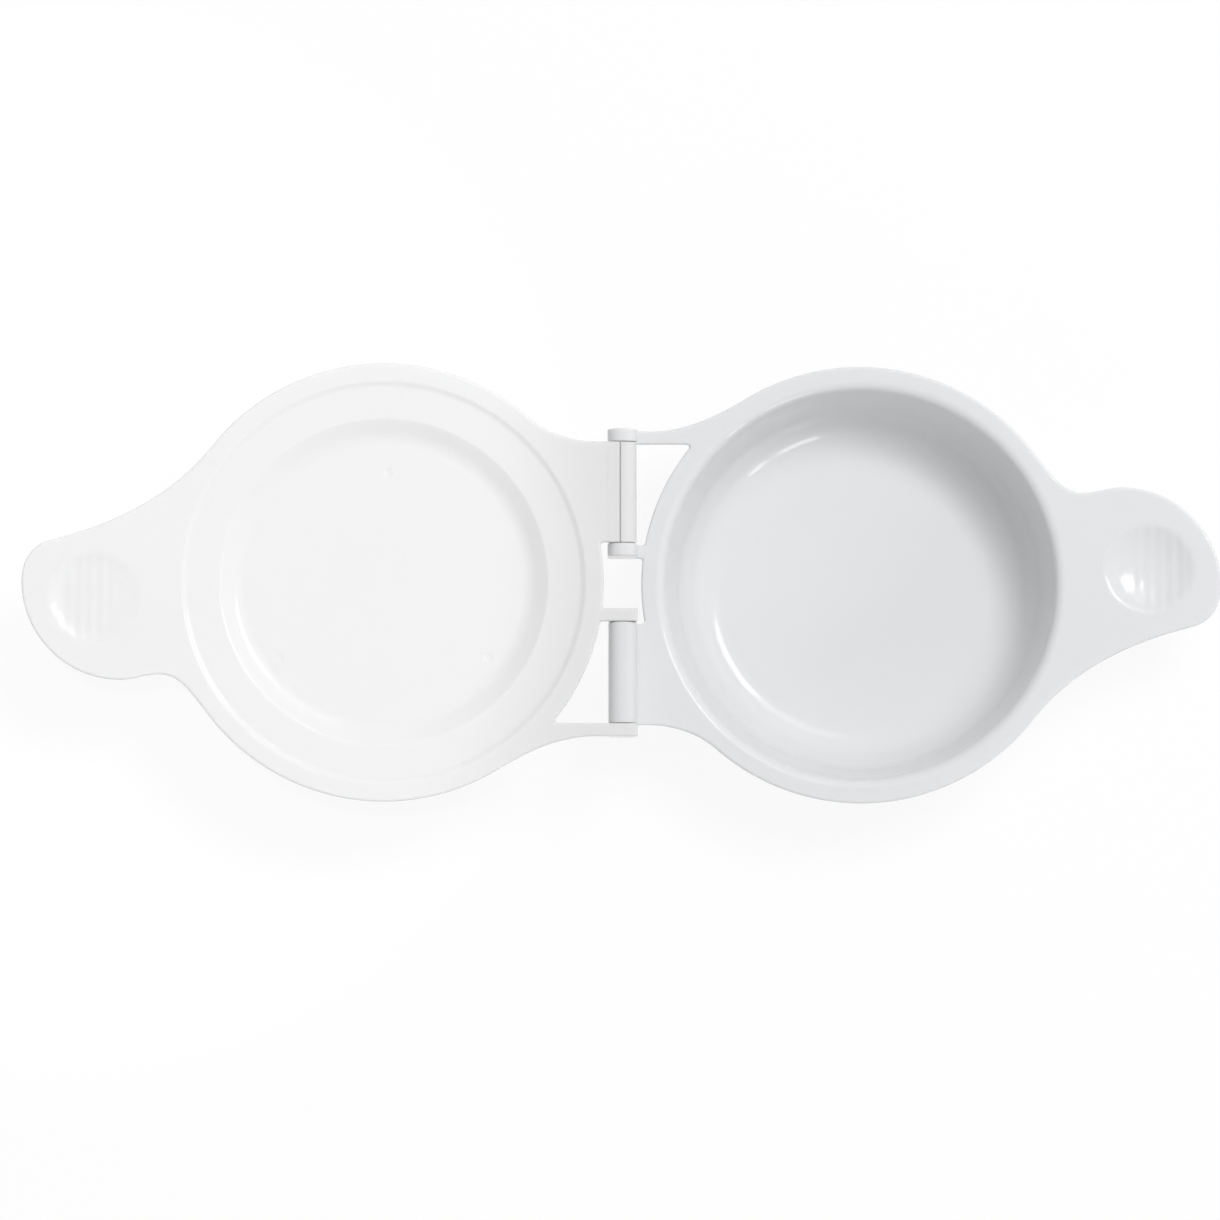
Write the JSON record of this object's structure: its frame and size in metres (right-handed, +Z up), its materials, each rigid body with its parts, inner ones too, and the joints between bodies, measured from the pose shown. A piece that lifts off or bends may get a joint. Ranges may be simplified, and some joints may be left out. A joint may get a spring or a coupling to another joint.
{
  "type": "microwave egg cooker",
  "caption": "Hinged microwave egg cooker, open flat: a deep round base cup and a shallow stepped lid cup, each with a side handle and thumb dimple, joined by an open clip hinge.",
  "frame": {"origin": "on the table that the base cup stands on, straight below the middle of the hinge", "axes": "+X from the hinge towards the base cup and its handle, +Y along the hinge axis, +Z up"},
  "size_m": [0.287, 0.105, 0.033],
  "materials": {
    "base_plastic": "moulded white plastic with a very slight cool grey, soft gloss",
    "lid_plastic": "moulded white plastic, soft gloss"
  },
  "bodies": {
    "base": {"base_cup": "base_plastic"},
    "lid": {"lid_cup": "lid_plastic"}
  },
  "joints": [
    {"name": "lid_hinge", "type": "hinge", "parent": "base", "child": "lid", "pos_m": [0, 0, 0.0294], "axis": [0, 1, 0], "range_deg": [-12, 180]}
  ]
}
